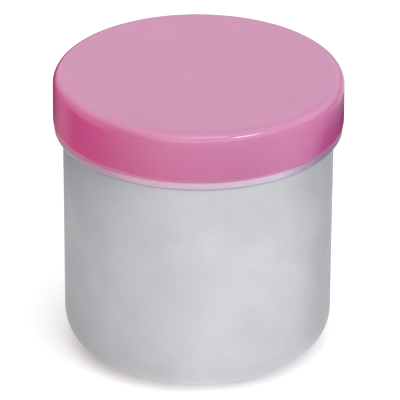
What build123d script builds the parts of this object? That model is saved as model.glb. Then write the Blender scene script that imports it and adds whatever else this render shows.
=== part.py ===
from build123d import *
import os
from math import pi

# A small lidded dappen dish. A steel outer shell carries a plastic collar with a screw
# thread, a round-bottomed well hangs in the collar, and a screw lid closes it.
# Millimetres. +Z is up and is the axis of every piece. The origin is the centre of the
# standing ring, on the surface that the dish stands on.

# ---- Driving dimensions -------------------------------------------------------------
lid_diameter = 40.0
shell_height = 32.1
shell_rim_diameter = 37.3
shell_foot_diameter = 36.9        # the drawn wall narrows slightly towards the foot
shell_corner_radius = 5.0
steel_wall = 0.6

standing_ring_inner_radius = 11.2
base_recess = 0.8                 # the middle of the base is raised off the table

flange_thickness = 1.5
flange_diameter = 39.7
flange_edge_radius = 0.55
neck_radius = 17.0
neck_height = 4.8                 # above the flange
neck_edge_radius = 0.25
collar_plug_depth = 3.2
collar_plug_gap = 0.05            # radial assembly gap inside the shell's mouth
plug_taper_depth = 0.8            # the plug narrows over this length to find the mouth
plug_taper_width = 0.4

well_outer_radius = 15.1
well_gap = 0.1                    # radial gap between the well and the collar's bore
well_depth = 24.0
well_lip_radius = 16.2
well_lip_gap = 0.1
lip_edge_radius = 0.25
seal_height = 0.6
seal_inner_gap = 0.2              # between the seal and the well's wall
seal_outer_gap = 0.1              # the seal stops this far short of the lip's edge

lid_height = 6.85
lid_gap = 0.05                    # between the closed lid's edge and the flange
lid_top_thickness = 1.2
lid_edge_radius = 1.5
lid_foot_radius = 0.2
lid_bore_radius = 18.25
liner_radius = 17.1

thread_starts = 2
thread_lead = 6.0                 # rise of the lid in one turn, right-handed
thread_height = 0.9               # radial height of each ridge
thread_root_width = 1.3
thread_crest_width = 0.7
thread_rise = 2.5                 # how far each ridge climbs along the neck
thread_embed = 0.2                # how far each ridge is rooted in its wall
thread_play = 0.2                 # axial gap on the side that bears when the lid is tight
neck_thread_rise_start = 1.4      # middle of the neck's first ridge, above the flange
lid_thread_rise_start = 0.8       # middle of the lid's first ridge, above the lid's edge

# ---- Levels and radii that follow from them --------------------------------------------
flange_top = shell_height + flange_thickness
neck_top = flange_top + neck_height
lid_foot = flange_top + lid_gap
lid_top = lid_foot + lid_height
liner_top = lid_top - lid_top_thickness

shell_rim_radius = shell_rim_diameter / 2
shell_foot_radius = shell_foot_diameter / 2
mouth_radius = shell_rim_radius - steel_wall
well_inner_radius = well_outer_radius - steel_wall
collar_bore_radius = well_outer_radius + well_gap
ledge_level = neck_top - steel_wall - seal_height
lip_seat_radius = well_lip_radius + well_lip_gap

neck_thread_start = flange_top + neck_thread_rise_start
lid_thread_start = lid_foot + lid_thread_rise_start
flank_slope = (thread_root_width - thread_crest_width) / 2 / thread_height
thread_radial_gap = lid_bore_radius - thread_height - neck_radius


# ---- Helpers ---------------------------------------------------------------------------
def turned(*points):
    """Turn a closed outline, given as (radius, level) points, about Z."""
    outline = make_face(Polyline(*points, close=True))
    return revolve(Plane.XZ * outline, Axis.Z)


def circles_at(solid, radius, level):
    """The round edges of a solid that have the given radius and level."""
    rings = solid.edges().filter_by(GeomType.CIRCLE)
    return rings.filter_by(
        lambda e: abs(e.radius - radius) < 0.01 and abs(e.center().Z - level) < 0.01
    )


def rounded(solid, ring_radius, level, radius):
    """Round the solid's edge that lies at the given radius and level."""
    return fillet(circles_at(solid, ring_radius, level), radius)


def thread_ridges(wall_radius, side, start_level, start_angle):
    """Equal helical ridges on a wall. side is +1 for an outside thread, -1 for an inside."""
    path = Helix(pitch=thread_lead, height=thread_rise, radius=wall_radius)
    root = wall_radius - side * thread_embed
    crest = wall_radius + side * thread_height
    section = make_face(
        Polyline(
            (root, -thread_root_width / 2),
            (crest, -thread_crest_width / 2),
            (crest, thread_crest_width / 2),
            (root, thread_root_width / 2),
            close=True,
        )
    )
    ridge = sweep(Plane.XZ * section, path=path, is_frenet=True)
    spacing = 360 / thread_starts
    return [
        Pos(0, 0, start_level) * Rot(0, 0, start_angle + spacing * n) * ridge
        for n in range(thread_starts)
    ]


# ---- The dish ----------------------------------------------------------------------------
def cup_block(inset):
    """The shell's outer form, drawn inwards all over by inset."""
    foot_radius = shell_foot_radius - inset
    block = turned(
        (0, inset),
        (foot_radius, inset),
        (shell_rim_radius - inset, shell_height),
        (0, shell_height),
    )
    return rounded(block, foot_radius, inset, shell_corner_radius - inset)


def dished_base(inset):
    """The raised middle of the base, a low cone frustum, grown all over by inset."""
    top_radius = standing_ring_inner_radius - 2 * base_recess
    return turned(
        (0, 0),
        (standing_ring_inner_radius + inset, 0),
        (top_radius + inset, base_recess + inset),
        (0, base_recess + inset),
    )


def make_outer_shell():
    """The drawn steel cup: one sheet thickness everywhere, with its base pushed up."""
    inside = cup_block(steel_wall) - dished_base(steel_wall)
    return cup_block(0) - inside - dished_base(0)


def make_neck_collar():
    """The plastic collar: plug in the shell's mouth, flange on its rim, threaded neck."""
    plug_radius = mouth_radius - collar_plug_gap
    plug_foot = shell_height - collar_plug_depth
    body = turned(
        (collar_bore_radius, plug_foot),
        (plug_radius - plug_taper_width, plug_foot),
        (plug_radius, plug_foot + plug_taper_depth),
        (plug_radius, shell_height),
        (flange_diameter / 2, shell_height),
        (flange_diameter / 2, flange_top),
        (neck_radius, flange_top),
        (neck_radius, neck_top),
        (lip_seat_radius, neck_top),
        (lip_seat_radius, ledge_level),
        (collar_bore_radius, ledge_level),
    )
    for level in (shell_height, flange_top):
        body = rounded(body, flange_diameter / 2, level, flange_edge_radius)
    body = rounded(body, neck_radius, neck_top, neck_edge_radius)
    for ridge in thread_ridges(neck_radius, 1, neck_thread_start, 0):
        body += ridge
    return body


def make_inner_well():
    """The steel well that holds the liquid: a straight wall, round bottom and flat lip."""
    lip_underside = neck_top - steel_wall
    centre = neck_top - well_depth + well_inner_radius

    def bullet(radius):
        straight = Cylinder(
            radius, neck_top - centre, align=(Align.CENTER, Align.CENTER, Align.MIN)
        )
        bottom = Sphere(
            radius, arc_size1=-90, arc_size2=0, align=(Align.CENTER, Align.CENTER, Align.MAX)
        )
        return Pos(0, 0, centre) * (straight + bottom)

    lip = turned(
        (well_inner_radius, lip_underside),
        (well_lip_radius, lip_underside),
        (well_lip_radius, neck_top),
        (well_inner_radius, neck_top),
    )
    well = bullet(well_outer_radius) + lip - bullet(well_inner_radius)
    return rounded(well, well_inner_radius, neck_top, lip_edge_radius)


def make_well_seal():
    """The flat silicone ring between the collar's ledge and the well's lip."""
    inner = well_outer_radius + seal_inner_gap
    outer = well_lip_radius - seal_outer_gap
    top = ledge_level + seal_height
    return turned((inner, ledge_level), (outer, ledge_level), (outer, top), (inner, top))


# ---- The lid -----------------------------------------------------------------------------
def make_lid():
    """The moulded screw lid: flat top, short skirt and inside thread."""
    lid_radius = lid_diameter / 2
    cap = turned(
        (0, liner_top),
        (lid_bore_radius, liner_top),
        (lid_bore_radius, lid_foot),
        (lid_radius, lid_foot),
        (lid_radius, lid_top),
        (0, lid_top),
    )
    cap = rounded(cap, lid_radius, lid_top, lid_edge_radius)
    cap = rounded(cap, lid_radius, lid_foot, lid_foot_radius)
    cap = rounded(cap, lid_bore_radius, lid_foot, lid_foot_radius)
    # The lid's ridges run below the neck's, with the stated play between their flanks.
    mean_width = (thread_root_width + thread_crest_width) / 2
    drop = mean_width - flank_slope * thread_radial_gap + thread_play
    start_angle = 360 * (lid_thread_start - neck_thread_start + drop) / thread_lead
    for ridge in thread_ridges(lid_bore_radius, -1, lid_thread_start, start_angle):
        cap += ridge
    return cap


def make_lid_liner():
    """The foam disc inside the lid, which seals on the neck and on the well's lip."""
    return turned((0, neck_top), (liner_radius, neck_top), (liner_radius, liner_top), (0, liner_top))


pieces = {
    "outer_shell": make_outer_shell,
    "neck_collar": make_neck_collar,
    "inner_well": make_inner_well,
    "well_seal": make_well_seal,
    "lid": make_lid,
    "lid_liner": make_lid_liner,
}

os.makedirs("parts", exist_ok=True)
for name, make in pieces.items():
    export_step(make(), f"parts/{name}.step")

straight_volume = pi * well_inner_radius**2 * (well_depth - well_inner_radius)
bowl_volume = 2 / 3 * pi * well_inner_radius**3
millilitres = (straight_volume + bowl_volume) / 1000
print(f"closed height {lid_top:.2f} mm, well holds {millilitres:.1f} ml to the brim")
print(f"liner {liner_top - neck_top:.2f} mm thick, lid rises {thread_lead:.1f} mm per turn")
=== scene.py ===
import math

import bmesh
import bpy
from mathutils import Matrix, Vector


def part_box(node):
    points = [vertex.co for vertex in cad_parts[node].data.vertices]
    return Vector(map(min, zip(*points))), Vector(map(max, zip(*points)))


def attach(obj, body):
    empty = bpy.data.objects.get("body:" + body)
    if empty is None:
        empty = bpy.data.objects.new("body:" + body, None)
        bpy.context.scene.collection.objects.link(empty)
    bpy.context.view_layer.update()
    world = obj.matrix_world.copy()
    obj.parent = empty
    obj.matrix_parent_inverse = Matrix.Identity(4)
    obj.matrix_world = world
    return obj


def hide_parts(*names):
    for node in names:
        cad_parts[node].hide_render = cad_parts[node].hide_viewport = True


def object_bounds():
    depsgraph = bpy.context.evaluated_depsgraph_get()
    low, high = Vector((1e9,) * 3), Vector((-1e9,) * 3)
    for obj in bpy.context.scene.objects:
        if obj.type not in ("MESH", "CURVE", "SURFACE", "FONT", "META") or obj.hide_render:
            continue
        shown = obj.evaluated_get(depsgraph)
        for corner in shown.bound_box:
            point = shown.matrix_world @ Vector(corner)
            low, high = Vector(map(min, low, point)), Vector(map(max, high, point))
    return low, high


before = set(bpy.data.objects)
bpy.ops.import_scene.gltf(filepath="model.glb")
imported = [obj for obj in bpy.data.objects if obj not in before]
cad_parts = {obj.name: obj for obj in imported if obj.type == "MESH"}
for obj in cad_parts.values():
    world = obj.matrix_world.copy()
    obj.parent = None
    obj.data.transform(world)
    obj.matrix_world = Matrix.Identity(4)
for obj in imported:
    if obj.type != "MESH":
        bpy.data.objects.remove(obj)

# A lidded dappen dish: satin steel shell, milky plastic collar, polished steel well and a
# glossy pink screw lid. Profiles are in millimetres, (radius, level), turned about Z.

cad_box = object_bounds()

MM = 0.001
COLUMNS = 288                       # steps round each turned piece
CARD_STEPS = 240                    # steps round the reflector card
CARD_LEVEL = 0.05 * MM              # it lies just above the floor
ROUND_STEPS = 6                     # points along a rounded edge
LONG = 0.9                          # a straight step longer than this is a flat
HOLD = 0.05                         # and is held flat this close to its ends
SHARP = math.radians(35)            # a bend sharper than this shows as an edge
NEAR_AXIS = 87                      # a hemisphere's last step to the axis starts here, in degrees


# ---- Sizes, from the frame ---------------------------------------------------------------
def corners(node):
    """A CAD node's lowest and highest corners, in millimetres."""
    low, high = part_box(node)
    return low / MM, high / MM


shell_high = corners("outer_shell")[1]
collar_low, collar_high = corners("neck_collar")
well_low, well_high = corners("inner_well")
seal_low, seal_high = corners("well_seal")
lid_low, lid_high = corners("lid")
liner_low, liner_high = corners("lid_liner")

SHEET = 0.6                         # steel thickness
RIM = shell_high.x                  # the shell's radius at its mouth
FOOT = RIM - 0.2                    # and at its foot
CORNER = 5.0                        # the bend into the base
STANDING_RING = 11.2                # inner radius of the ring that it stands on
RECESS = 0.8                        # how far the middle of the base is pushed up

FLANGE = collar_high.x
FLANGE_TOP = shell_high.z + 1.5
FLANGE_EDGE = 0.55
NECK = 17.0
NECK_TOP = collar_high.z
NECK_FILLET = 0.25
BORE = 15.2
LIP_SEAT = 16.3                     # the recess that holds the well's lip
PLUG_GAP = 0.05                     # between the collar's plug and the shell
PLUG_LEAD_IN = 0.4

WELL_OUTER = 15.1
WELL_INNER = WELL_OUTER - SHEET
WELL_LIP = well_high.x
SEAL_GAP = 0.2                      # between the seal and the well's wall

LID = lid_high.x
LID_EDGE = 1.5
LID_BORE = 18.25

THREAD_STARTS = 2
THREAD_LEAD = 6.0
THREAD_HEIGHT = 0.9
THREAD_ROOT = 1.3                   # width of a ridge where it leaves the wall
THREAD_CREST = 0.7
THREAD_RISE = 2.5
THREAD_RUN_OUT = math.radians(10)   # a ridge fades into the wall over this angle
NECK_THREAD_START = FLANGE_TOP + 1.4
LID_THREAD_START = lid_low.z + 0.8
LID_THREAD_DROP = 1.083             # the lid's ridges run this far below the neck's


# ---- Turned pieces -----------------------------------------------------------------------
def arc(centre_radius, centre_level, radius, start, end, steps=ROUND_STEPS):
    """Points along an arc, from start to end in degrees, 0 outwards and 90 up."""
    made = []
    for n in range(steps + 1):
        angle = math.radians(start + (end - start) * n / steps)
        across, up = radius * math.cos(angle), radius * math.sin(angle)
        made.append((centre_radius + across, centre_level + up))
    return made


def thread_section(angle, wall, side, start_level, start_angle):
    """Four points of the ridge that crosses this column, lowest first.

    A column between two ridges has a ridge of no height, so every column has four points.
    """
    span = 2 * math.pi * THREAD_RISE / THREAD_LEAD
    share = 2 * math.pi / THREAD_STARTS
    along = (angle - start_angle) % share
    if along <= span:
        height = THREAD_HEIGHT * min(1.0, along / THREAD_RUN_OUT, (span - along) / THREAD_RUN_OUT)
        middle = start_level + THREAD_RISE * along / span
    else:
        height = 0.0
        middle = start_level + THREAD_RISE * (share - along) / (share - span)
    crest = wall + side * height
    return [
        (wall, middle - THREAD_ROOT / 2),
        (crest, middle - THREAD_CREST / 2),
        (crest, middle + THREAD_CREST / 2),
        (wall, middle + THREAD_ROOT / 2),
    ]


def held(points, flats):
    """The points with one more close to each end of each flat, so that it is shaded flat."""
    made = []
    for place, (here, there) in enumerate(zip(points, points[1:] + points[:1])):
        made.append(here)
        if place in flats:
            share = HOLD / max(math.dist(here, there), 3 * HOLD)
            for part in (share, 1 - share):
                made.append(tuple(a + (b - a) * part for a, b in zip(here, there)))
    return made


def turned(name, profile_at):
    """A closed skin turned about Z. profile_at(angle) gives a column's (radius, level) points."""
    bm = bmesh.new()
    columns = []
    poles = {}
    first = profile_at(0)
    steps = [math.dist(here, there) for here, there in zip(first, first[1:])]
    flats = {place for place, step in enumerate(steps) if step > LONG}
    for n in range(COLUMNS):
        angle = 2 * math.pi * n / COLUMNS
        column = []
        for place, (radius, level) in enumerate(held(profile_at(angle), flats)):
            if radius == 0:
                if place not in poles:
                    poles[place] = bm.verts.new((0, 0, level * MM))
                column.append(poles[place])
            else:
                point = Vector((radius * math.cos(angle), radius * math.sin(angle), level))
                column.append(bm.verts.new(point * MM))
        columns.append(column)
    on_axis = 0 in poles
    for n in range(COLUMNS):
        here, there = columns[n], columns[(n + 1) % COLUMNS]
        for place in range(len(here) - 1 if on_axis else len(here)):
            after = (place + 1) % len(here)
            ring = [here[place], there[place], there[after], here[after]]
            bm.faces.new(list(dict.fromkeys(ring)))
    bmesh.ops.recalc_face_normals(bm, faces=bm.faces)
    mesh = bpy.data.meshes.new(name)
    bm.to_mesh(mesh)
    bm.free()
    mesh.shade_smooth()
    mesh.set_sharp_from_angle(angle=SHARP)
    piece = bpy.data.objects.new(name, mesh)
    bpy.context.scene.collection.objects.link(piece)
    return piece


def place_piece(piece, node, body, material):
    """The piece stands for its CAD node and moves with its body."""
    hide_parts(node)
    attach(piece, body)
    piece.data.materials.append(material)


# ---- Material helpers ----------------------------------------------------------------------
RANGE = ("From Min", "From Max", "To Min", "To Max")        # a map range's limits


class Surface:
    """A principled material and short ways to build on it."""

    def __init__(self, name, **inputs):
        self.material = bpy.data.materials.new(name)
        self.material.use_nodes = True
        self.nodes = self.material.node_tree.nodes
        self.links = self.material.node_tree.links
        self.shader = self.nodes["Principled BSDF"]
        for key, value in inputs.items():
            self.shader.inputs[key.replace("_", " ")].default_value = value
        self.place = self.nodes.new("ShaderNodeTexCoord").outputs["Object"]

    def math(self, operation, first, second):
        node = self.nodes.new("ShaderNodeMath")
        node.operation = operation
        for socket, value in zip(node.inputs, (first, second)):
            if isinstance(value, (int, float)):
                socket.default_value = value
            else:
                self.links.new(value, socket)
        return node.outputs["Value"]

    def stretched(self, across, along):
        """Coordinates for marks that run round the axis, on walls and on flat ends alike."""
        split = self.nodes.new("ShaderNodeSeparateXYZ")
        self.links.new(self.place, split.inputs[0])
        x, y, z = split.outputs
        squares = self.math("ADD", self.math("POWER", x, 2), self.math("POWER", y, 2))
        radius = self.math("SQRT", squares, 0)
        joined = self.nodes.new("ShaderNodeCombineXYZ")
        self.links.new(self.math("MULTIPLY", x, along), joined.inputs[0])
        self.links.new(self.math("MULTIPLY", y, along), joined.inputs[1])
        self.links.new(self.math("MULTIPLY", self.math("ADD", radius, z), across), joined.inputs[2])
        return joined.outputs[0]

    def noise(self, scale, detail=2.0, roughness=0.5, place=None, distortion=0.0):
        node = self.nodes.new("ShaderNodeTexNoise")
        node.inputs["Scale"].default_value = scale
        node.inputs["Detail"].default_value = detail
        node.inputs["Roughness"].default_value = roughness
        node.inputs["Distortion"].default_value = distortion
        self.links.new(place or self.place, node.inputs["Vector"])
        return node.outputs["Fac"]

    def spread(self, value, low, high, from_low=0.3, from_high=0.7):
        """The value stretched from one range to another, and held inside it."""
        node = self.nodes.new("ShaderNodeMapRange")
        self.links.new(value, node.inputs["Value"])
        for key, number in zip(RANGE, (from_low, from_high, low, high)):
            node.inputs[key].default_value = number
        return node.outputs["Result"]

    def colours(self, value, *stops):
        """A colour ramp: stops are (position, (r, g, b))."""
        node = self.nodes.new("ShaderNodeValToRGB")
        self.links.new(value, node.inputs["Fac"])
        ramp = node.color_ramp
        while len(ramp.elements) < len(stops):
            ramp.elements.new(0.5)
        for element, (position, colour) in zip(ramp.elements, stops):
            element.position = position
            element.color = (*colour, 1)
        return node.outputs["Color"]

    def multiplied(self, first, second):
        """One colour tinted by another."""
        node = self.nodes.new("ShaderNodeVectorMath")
        node.operation = "MULTIPLY"
        self.links.new(first, node.inputs[0])
        self.links.new(second, node.inputs[1])
        return node.outputs["Vector"]

    def drive(self, key, output):
        self.links.new(output, self.shader.inputs[key])

    def bump(self, *layers):
        """Stack bumps. Each layer is (height output, depth in metres, strength)."""
        normal = None
        for height, depth, strength in layers:
            node = self.nodes.new("ShaderNodeBump")
            node.inputs["Distance"].default_value = depth
            node.inputs["Strength"].default_value = strength
            self.links.new(height, node.inputs["Height"])
            if normal:
                self.links.new(normal, node.inputs["Normal"])
            normal = node.outputs["Normal"]
        self.drive("Normal", normal)


# ---- Materials -----------------------------------------------------------------------------
def pink_plastic():
    """Glossy moulded plastic with a faint orange peel and slightly uneven gloss."""
    s = Surface("pink_plastic", Subsurface_Weight=0.5, Subsurface_Scale=0.0015, IOR=1.75,
                Specular_IOR_Level=0.9)
    s.shader.inputs["Subsurface Radius"].default_value = (1.0, 0.25, 0.45)
    flow = s.noise(90, detail=3)
    s.drive("Base Color", s.colours(flow, (0.35, (0.290, 0.040, 0.155)), (0.65, (0.306, 0.045, 0.167))))
    marks = s.noise(260, detail=6, roughness=0.6, distortion=0.4)
    s.drive("Roughness", s.spread(marks, 0.08, 0.14))
    s.bump((s.noise(900, detail=2), 0.000012, 0.25), (s.noise(9000, detail=2), 0.000002, 0.2))
    return s.material


def natural_plastic():
    """Milky lilac plastic for the collar. Its grading is painted on: dark at the flange's foot,
    pink at its top and darker towards -X and +X, in place of shade and of the lid's reflection."""
    s = Surface("natural_plastic", Subsurface_Weight=0.4, Subsurface_Scale=0.0005, IOR=1.47)
    s.shader.inputs["Subsurface Radius"].default_value = (1.0, 0.8, 1.0)
    split = s.nodes.new("ShaderNodeSeparateXYZ")
    s.links.new(s.place, split.inputs[0])
    flange_foot, flange_top = shell_high.z * MM, FLANGE_TOP * MM
    rise = s.spread(split.outputs[2], 0, 1, flange_foot, 2 * flange_top - flange_foot)
    # Painted shade at the flange's foot and painted pink reflection of the lid at its top, over the
    # plastic's own lilac above them.
    lilac_and_painted_light = s.colours(
        rise, (0.05, (0.20, 0.18, 0.22)), (0.20, (0.33, 0.28, 0.34)), (0.36, (0.38, 0.28, 0.36)),
        (0.48, (0.45, 0.25, 0.35)), (0.54, (0.46, 0.36, 0.42)), (0.70, (0.46, 0.39, 0.44)),
    )
    across = s.spread(split.outputs[0], 0, 1, -FLANGE * MM, FLANGE * MM)
    # Painted shade, darker towards -X and +X.
    painted_side_shade = s.colours(
        across, (0.08, (0.52, 0.44, 0.54)), (0.18, (0.64, 0.53, 0.65)), (0.30, (0.88, 0.79, 0.89)),
        (0.50, (0.96, 0.95, 0.96)), (0.78, (1.0, 1.0, 1.0)), (0.86, (0.64, 0.52, 0.68)),
        (0.93, (0.38, 0.27, 0.40)),
    )
    s.drive("Base Color", s.multiplied(lilac_and_painted_light, painted_side_shade))
    s.drive("Roughness", s.spread(s.noise(180, detail=2), 0.30, 0.35))
    s.bump((s.noise(1200, detail=2), 0.000006, 0.2))
    return s.material


def satin_steel():
    """Drawn steel with a satin finish: faint marks run round the cup, over a soft mottle."""
    s = Surface("satin_steel", Metallic=1.0)
    mottle = s.noise(130, detail=6, roughness=0.6, distortion=0.3)
    s.drive("Base Color", s.colours(mottle, (0.3, (0.418, 0.422, 0.440)), (0.7, (0.492, 0.495, 0.508))))
    fine = s.noise(1.0, detail=3, place=s.stretched(9000, 120))
    broad = s.noise(1.0, detail=4, place=s.stretched(1800, 60))
    s.drive("Roughness", s.math("ADD", s.spread(fine, 0.52, 0.58), s.spread(mottle, -0.03, 0.03)))
    grain = s.noise(3200, detail=3)
    s.bump((broad, 0.000006, 0.12), (fine, 0.000003, 0.3), (grain, 0.000014, 0.6))
    return s.material


def polished_steel():
    """Bright steel for the well, with faint turning rings and a slightly cloudy tone."""
    s = Surface("polished_steel", Metallic=1.0)
    cloud = s.noise(140, detail=4)
    s.drive("Base Color", s.colours(cloud, (0.3, (0.62, 0.62, 0.625)), (0.7, (0.69, 0.69, 0.69))))
    rings = s.noise(1.0, detail=3, place=s.stretched(5000, 60))
    s.drive("Roughness", s.math("ADD", s.spread(rings, 0.10, 0.17), s.spread(cloud, 0.0, 0.05)))
    s.bump((rings, 0.000003, 0.4))
    return s.material


def seal_silicone():
    """Soft pale silicone, slightly dusty."""
    s = Surface("seal_silicone", Subsurface_Weight=0.4, Subsurface_Scale=0.0006, IOR=1.41)
    dust = s.noise(700, detail=4)
    s.drive("Base Color", s.colours(dust, (0.3, (0.70, 0.72, 0.74)), (0.7, (0.80, 0.82, 0.83))))
    s.drive("Roughness", s.spread(dust, 0.38, 0.52))
    s.bump((s.noise(5000, detail=2), 0.000006, 0.4))
    return s.material


def liner_foam():
    """White closed-cell foam: tiny cells under a skin."""
    s = Surface("liner_foam", Subsurface_Weight=0.2, Subsurface_Scale=0.0005, IOR=1.45)
    cells = s.nodes.new("ShaderNodeTexVoronoi")
    cells.inputs["Scale"].default_value = 3200
    s.links.new(s.place, cells.inputs["Vector"])
    tone = s.noise(300, detail=3)
    s.drive("Base Color", s.colours(tone, (0.3, (0.80, 0.80, 0.78)), (0.7, (0.87, 0.87, 0.86))))
    s.drive("Roughness", s.spread(tone, 0.62, 0.78))
    s.bump((cells.outputs["Distance"], 0.00006, 0.6), (s.noise(9000), 0.00001, 0.4))
    return s.material


# ---- Pieces --------------------------------------------------------------------------------
def outer_shell_profile(angle):
    edge, bend = 0.12, 0.4
    inner_corner = CORNER - SHEET
    foot_inside = FOOT - SHEET
    raised = STANDING_RING - 2 * RECESS
    return [
        (0, RECESS),
        *arc(raised - 0.3, RECESS - bend, bend, 90, 63, 3),
        *arc(STANDING_RING + 0.1, bend, bend, 243, 270, 3),
        *arc(FOOT - CORNER, CORNER, CORNER, -90, 0, 20),
        *arc(RIM - edge, shell_high.z - edge, edge, 0, 90, 3),
        *arc(RIM - SHEET + edge, shell_high.z - edge, edge, 90, 180, 3),
        *arc(foot_inside - inner_corner, CORNER, inner_corner, 0, -90, 16),
        (STANDING_RING + SHEET, SHEET),
        (raised + SHEET, RECESS + SHEET),
        (0, RECESS + SHEET),
    ]


def collar_profile(angle):
    plug = RIM - SHEET - PLUG_GAP
    plug_foot = collar_low.z
    seat = shell_high.z
    ledge = seal_low.z
    edge, fillet, lip_edge = FLANGE_EDGE, NECK_FILLET, 0.1
    return [
        (BORE, plug_foot),
        (plug - PLUG_LEAD_IN, plug_foot),
        (plug, plug_foot + 2 * PLUG_LEAD_IN),
        (plug, seat),
        *arc(FLANGE - edge, seat + edge, edge, -90, 0),
        *arc(FLANGE - edge, FLANGE_TOP - edge, edge, 0, 90),
        *arc(NECK + fillet, FLANGE_TOP + fillet, fillet, 270, 180, 4),
        *thread_section(angle, NECK, 1, NECK_THREAD_START, 0),
        *arc(NECK - fillet, NECK_TOP - fillet, fillet, 0, 90, 4),
        *arc(LIP_SEAT + lip_edge, NECK_TOP - lip_edge, lip_edge, 90, 180, 3),
        (LIP_SEAT, ledge),
        (BORE, ledge),
    ]


def well_profile(angle):
    edge, bend, mouth = 0.12, 0.1, 0.25
    centre = well_low.z + WELL_OUTER
    lip_foot = NECK_TOP - SHEET
    return [
        (0, centre - WELL_OUTER),
        *arc(0, centre, WELL_OUTER, -NEAR_AXIS, 0, 29),
        *arc(WELL_OUTER + bend, lip_foot - bend, bend, 180, 90, 3),
        *arc(WELL_LIP - edge, lip_foot + edge, edge, -90, 0, 3),
        *arc(WELL_LIP - edge, NECK_TOP - edge, edge, 0, 90, 3),
        *arc(WELL_INNER + mouth, NECK_TOP - mouth, mouth, 90, 180, 4),
        *arc(0, centre, WELL_INNER, 0, -NEAR_AXIS, 29),
        (0, centre - WELL_INNER),
    ]


def seal_profile(angle):
    edge = 0.15
    inner, outer = WELL_OUTER + SEAL_GAP, seal_high.x
    return [
        *arc(inner + edge, seal_low.z + edge, edge, 180, 270, 4),
        *arc(outer - edge, seal_low.z + edge, edge, -90, 0, 4),
        *arc(outer - edge, seal_high.z - edge, edge, 0, 90, 4),
        *arc(inner + edge, seal_high.z - edge, edge, 90, 180, 4),
    ]


def lid_profile(angle):
    foot, top, ceiling = lid_low.z, lid_high.z, liner_high.z
    edge, corner = 0.12, 0.3
    climb = LID_THREAD_START - NECK_THREAD_START + LID_THREAD_DROP
    start_angle = 2 * math.pi * climb / THREAD_LEAD
    return [
        (0, top),
        (LID - 6, top),
        *arc(LID - LID_EDGE, top - LID_EDGE, LID_EDGE, 90, 0, 14),
        *arc(LID - edge, foot + edge, edge, 0, -90, 4),
        *arc(LID_BORE + edge, foot + edge, edge, 270, 180, 4),
        *thread_section(angle, LID_BORE, -1, LID_THREAD_START, start_angle),
        *arc(LID_BORE - corner, ceiling - corner, corner, 0, 90, 4),
        (0, ceiling),
    ]


def liner_profile(angle):
    edge = 0.18
    low, high, outer = liner_low.z, liner_high.z, liner_high.x
    return [
        (0, low),
        *arc(outer - edge, low + edge, edge, -90, 0, 4),
        *arc(outer - edge, high - edge, edge, 0, 90, 4),
        (0, high),
    ]


shell = turned("shell_skin", outer_shell_profile)
place_piece(shell, "outer_shell", "dish", satin_steel())
collar = turned("collar_skin", collar_profile)
place_piece(collar, "neck_collar", "dish", natural_plastic())
well = turned("well_skin", well_profile)
place_piece(well, "inner_well", "dish", polished_steel())
seal = turned("seal_skin", seal_profile)
place_piece(seal, "well_seal", "dish", seal_silicone())
lid = turned("lid_skin", lid_profile)
place_piece(lid, "lid", "lid", pink_plastic())
liner = turned("liner_disc", liner_profile)
place_piece(liner, "lid_liner", "liner", liner_foam())


# ---- Floor, light and camera -----------------------------------------------------------------
def make_floor():
    mesh = bpy.data.meshes.new("floor")
    bm = bmesh.new()
    bmesh.ops.create_grid(bm, x_segments=1, y_segments=1, size=3.0)
    bm.to_mesh(mesh)
    bm.free()
    floor = bpy.data.objects.new("floor", mesh)
    bpy.context.scene.collection.objects.link(floor)
    s = Surface("floor_paper")
    tone = s.noise(8, detail=2)
    s.drive("Base Color", s.colours(tone, (0.3, (0.80, 0.80, 0.80)), (0.7, (0.82, 0.82, 0.82))))
    s.shader.inputs["Roughness"].default_value = 0.7
    mesh.materials.append(s.material)


def towards(azimuth, elevation):
    """A direction from the dish. Azimuth 0 is the camera's side and 90 the +X side, in degrees."""
    a, e = math.radians(azimuth), math.radians(elevation)
    return Vector((math.sin(a) * math.cos(e), -math.cos(a) * math.cos(e), math.sin(e)))


def between(azimuth, stops):
    """The brightness at an azimuth, from (azimuth, brightness) stops in order from -180 to 180."""
    for (start, first), (end, last) in zip(stops, stops[1:]):
        if azimuth <= end:
            return first + (last - first) * (azimuth - start) / (end - start)
    return stops[-1][1]


def softbox(name, azimuth, elevation, distance, width, height, power, colour=(1, 1, 1), glossy=True):
    """An area light that faces the dish. One that isn't glossy leaves no reflection."""
    light = bpy.data.lights.new(name, "AREA")
    light.shape = "RECTANGLE"
    light.size, light.size_y = width, height
    light.energy = power
    light.color = colour
    lamp = bpy.data.objects.new(name, light)
    away = towards(azimuth, elevation)
    lamp.location = Vector((0, 0, cad_box[1].z / 2)) + away * distance
    lamp.rotation_euler = away.to_track_quat("Z", "Y").to_euler()
    lamp.visible_camera = False
    lamp.visible_glossy = glossy
    bpy.context.scene.collection.objects.link(lamp)


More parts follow.
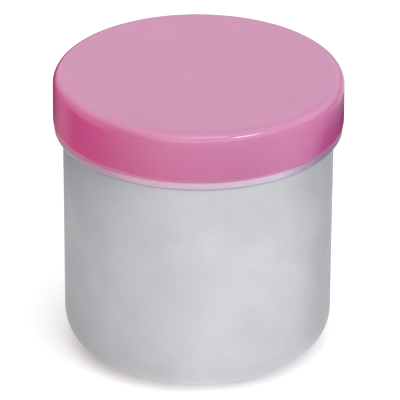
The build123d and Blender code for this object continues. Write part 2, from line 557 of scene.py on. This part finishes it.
def make_reflector(*rings):
    """A graded card that lies round the dish and shows only in its reflections.

    Each ring is (radius in mm, (azimuth, brightness), ...), and the card fades between them.
    """
    bm = bmesh.new()
    glow = bm.verts.layers.float.new("glow")
    rows = []
    for radius, *stops in rings:
        row = []
        for n in range(CARD_STEPS):
            azimuth = 360 * n / CARD_STEPS - 180
            vert = bm.verts.new(towards(azimuth, 0) * radius * MM + Vector((0, 0, CARD_LEVEL)))
            vert[glow] = between(azimuth, stops)
            row.append(vert)
        rows.append(row)
    for inner, outer in zip(rows, rows[1:]):
        for n in range(CARD_STEPS):
            after = (n + 1) % CARD_STEPS
            bm.faces.new((inner[n], inner[after], outer[after], outer[n]))
    mesh = bpy.data.meshes.new("reflector")
    bm.to_mesh(mesh)
    bm.free()
    card = bpy.data.objects.new("reflector", mesh)
    bpy.context.scene.collection.objects.link(card)
    s = Surface("reflector_card")
    painted = s.nodes.new("ShaderNodeAttribute")
    painted.attribute_name = "glow"
    lamp = s.nodes.new("ShaderNodeEmission")
    s.links.new(painted.outputs["Fac"], lamp.inputs["Strength"])
    s.links.new(lamp.outputs[0], s.nodes["Material Output"].inputs["Surface"])
    mesh.materials.append(s.material)
    card.visible_camera = False
    card.visible_diffuse = False
    card.visible_shadow = False
    card.visible_transmission = False


UP, BACK, RIGHT = 2, 1, 0
TENT_FADES = (                      # axis, its range, and the brightness at the range's two ends
    (UP, -0.2, 0.40, 0.60, 1.78),
    (BACK, 0.2, 0.85, 1.0, 0.76),
    (RIGHT, -0.90, -0.30, 0.38, 1.0),
)


def make_world():
    """A light tent: pale at the horizon, bright overhead, a little darker behind the dish and
    darkest on its left."""
    world = bpy.data.worlds.new("studio")
    world.use_nodes = True
    nodes, links = world.node_tree.nodes, world.node_tree.links
    split = nodes.new("ShaderNodeSeparateXYZ")
    links.new(nodes.new("ShaderNodeTexCoord").outputs["Generated"], split.inputs[0])
    strength = None
    for axis, *limits in TENT_FADES:
        fade = nodes.new("ShaderNodeMapRange")
        fade.interpolation_type = "SMOOTHSTEP"
        for key, number in zip(RANGE, limits):
            fade.inputs[key].default_value = number
        links.new(split.outputs[axis], fade.inputs["Value"])
        if strength is None:
            strength = fade.outputs["Result"]
        else:
            joined = nodes.new("ShaderNodeMath")
            joined.operation = "MULTIPLY"
            links.new(strength, joined.inputs[0])
            links.new(fade.outputs["Result"], joined.inputs[1])
            strength = joined.outputs["Value"]
    background = nodes["Background"]
    background.inputs["Color"].default_value = (0.95, 0.97, 1.0, 1)
    links.new(strength, background.inputs["Strength"])
    bpy.context.scene.world = world


def make_camera():
    """A long lens, 27 degrees above, turned a third of a degree."""
    elevation, roll = math.radians(26.8), math.radians(0.3)
    distance = 0.85
    right_of_middle, above_middle = 0.00027, 0.00062
    back = Vector((0, -math.cos(elevation), math.sin(elevation)))
    up = Vector((0, math.sin(elevation), math.cos(elevation)))
    target = Vector((right_of_middle, 0, cad_box[1].z / 2)) + up * above_middle
    camera = bpy.data.cameras.new("camera")
    camera.lens = 553
    camera.sensor_width = 36
    camera.clip_start, camera.clip_end = 0.05, 20
    thing = bpy.data.objects.new("camera", camera)
    thing.matrix_world = (
        Matrix.Translation(target + back * distance)
        @ back.to_track_quat("Z", "Y").to_matrix().to_4x4()
        @ Matrix.Rotation(roll, 4, "Z")
    )
    bpy.context.scene.collection.objects.link(thing)
    bpy.context.scene.camera = thing


make_floor()
make_world()
softbox("key", 30, 35, 0.6, 0.40, 0.30, 0.5, glossy=False)
softbox("strip_left", 8, 70, 0.5, 0.20, 0.020, 0.075)
softbox("strip_right", 46, 50, 0.5, 0.15, 0.026, 0.125)
softbox("fill_left", -72, 6, 0.5, 0.30, 0.12, 2.25, (1.0, 0.62, 0.38), glossy=False)
softbox("fill_right", 54, 8, 0.5, 0.30, 0.20, 0.9, (0.94, 0.95, 1.0), glossy=False)
# The card as the lid sees it, from straight behind the dish round to its left.
LEFT_BAND = ((-180, 0.05), (-152, 0.03), (-138, 0.10), (-130, 0.24), (-116, 0.24))
make_reflector(
    (14.5, (-180, 0.2), (-110, 0.5), (-60, 0.8), (0, 1.5), (60, 1.25), (90, 0.7), (130, 0.4),
     (180, 0.3)),
    (40.0, (-180, 0.6), (-110, 0.8), (-60, 1.1), (0, 1.5), (60, 1.5), (90, 0.95), (130, 0.8),
     (180, 0.4)),
    (62.0, (-180, 0.3), (-150, 0.5), (-110, 1.65), (-60, 2.3), (0, 2.3), (70, 2.3), (95, 1.3),
     (130, 0.8), (180, 0.4)),
    (68.0, (-180, 0.3), (-150, 0.4), (-110, 1.75), (-60, 2.5), (0, 2.6), (70, 2.6), (95, 1.3),
     (130, 0.7), (180, 0.4)),
    (74.0, (-180, 0.1), (-130, 0.2), (-104, 0.0), (-80, 0.05), (-50, 0.4), (-20, 0.7), (66, 0.9),
     (82, 0.6), (98, 0.0), (150, 0.0), (180, 0.2)),
    (78.0, *LEFT_BAND, (-104, 0.0), (-80, 0.08), (-50, 0.4), (-20, 0.7), (66, 0.9), (84, 0.6),
     (102, 0.0), (150, 0.0), (180, 0.2)),
    (84.0, *LEFT_BAND, (-104, 0.03), (-80, 0.1), (-50, 0.45), (-20, 0.7), (66, 1.0), (90, 0.7),
     (107, 0.05), (150, 0.2), (180, 0.2)),
    (90.0, *LEFT_BAND, (-104, 0.03), (-80, 0.1), (-50, 0.45), (-20, 0.8), (70, 1.1), (95, 0.8),
     (120, 0.5), (150, 0.8), (180, 0.4)),
    (100.0, *LEFT_BAND, (-104, 0.03), (-80, 0.2), (-50, 0.7), (-20, 1.15), (70, 1.3), (95, 0.9),
     (120, 0.7), (150, 0.9), (180, 0.4)),
    (1800.0, *LEFT_BAND, (-104, 0.03), (-80, 0.3), (-50, 0.9), (-20, 1.35), (70, 1.4), (95, 0.9),
     (120, 0.7), (150, 0.9), (180, 0.4)),
)
make_camera()
bpy.context.scene.view_settings.view_transform = "Standard"
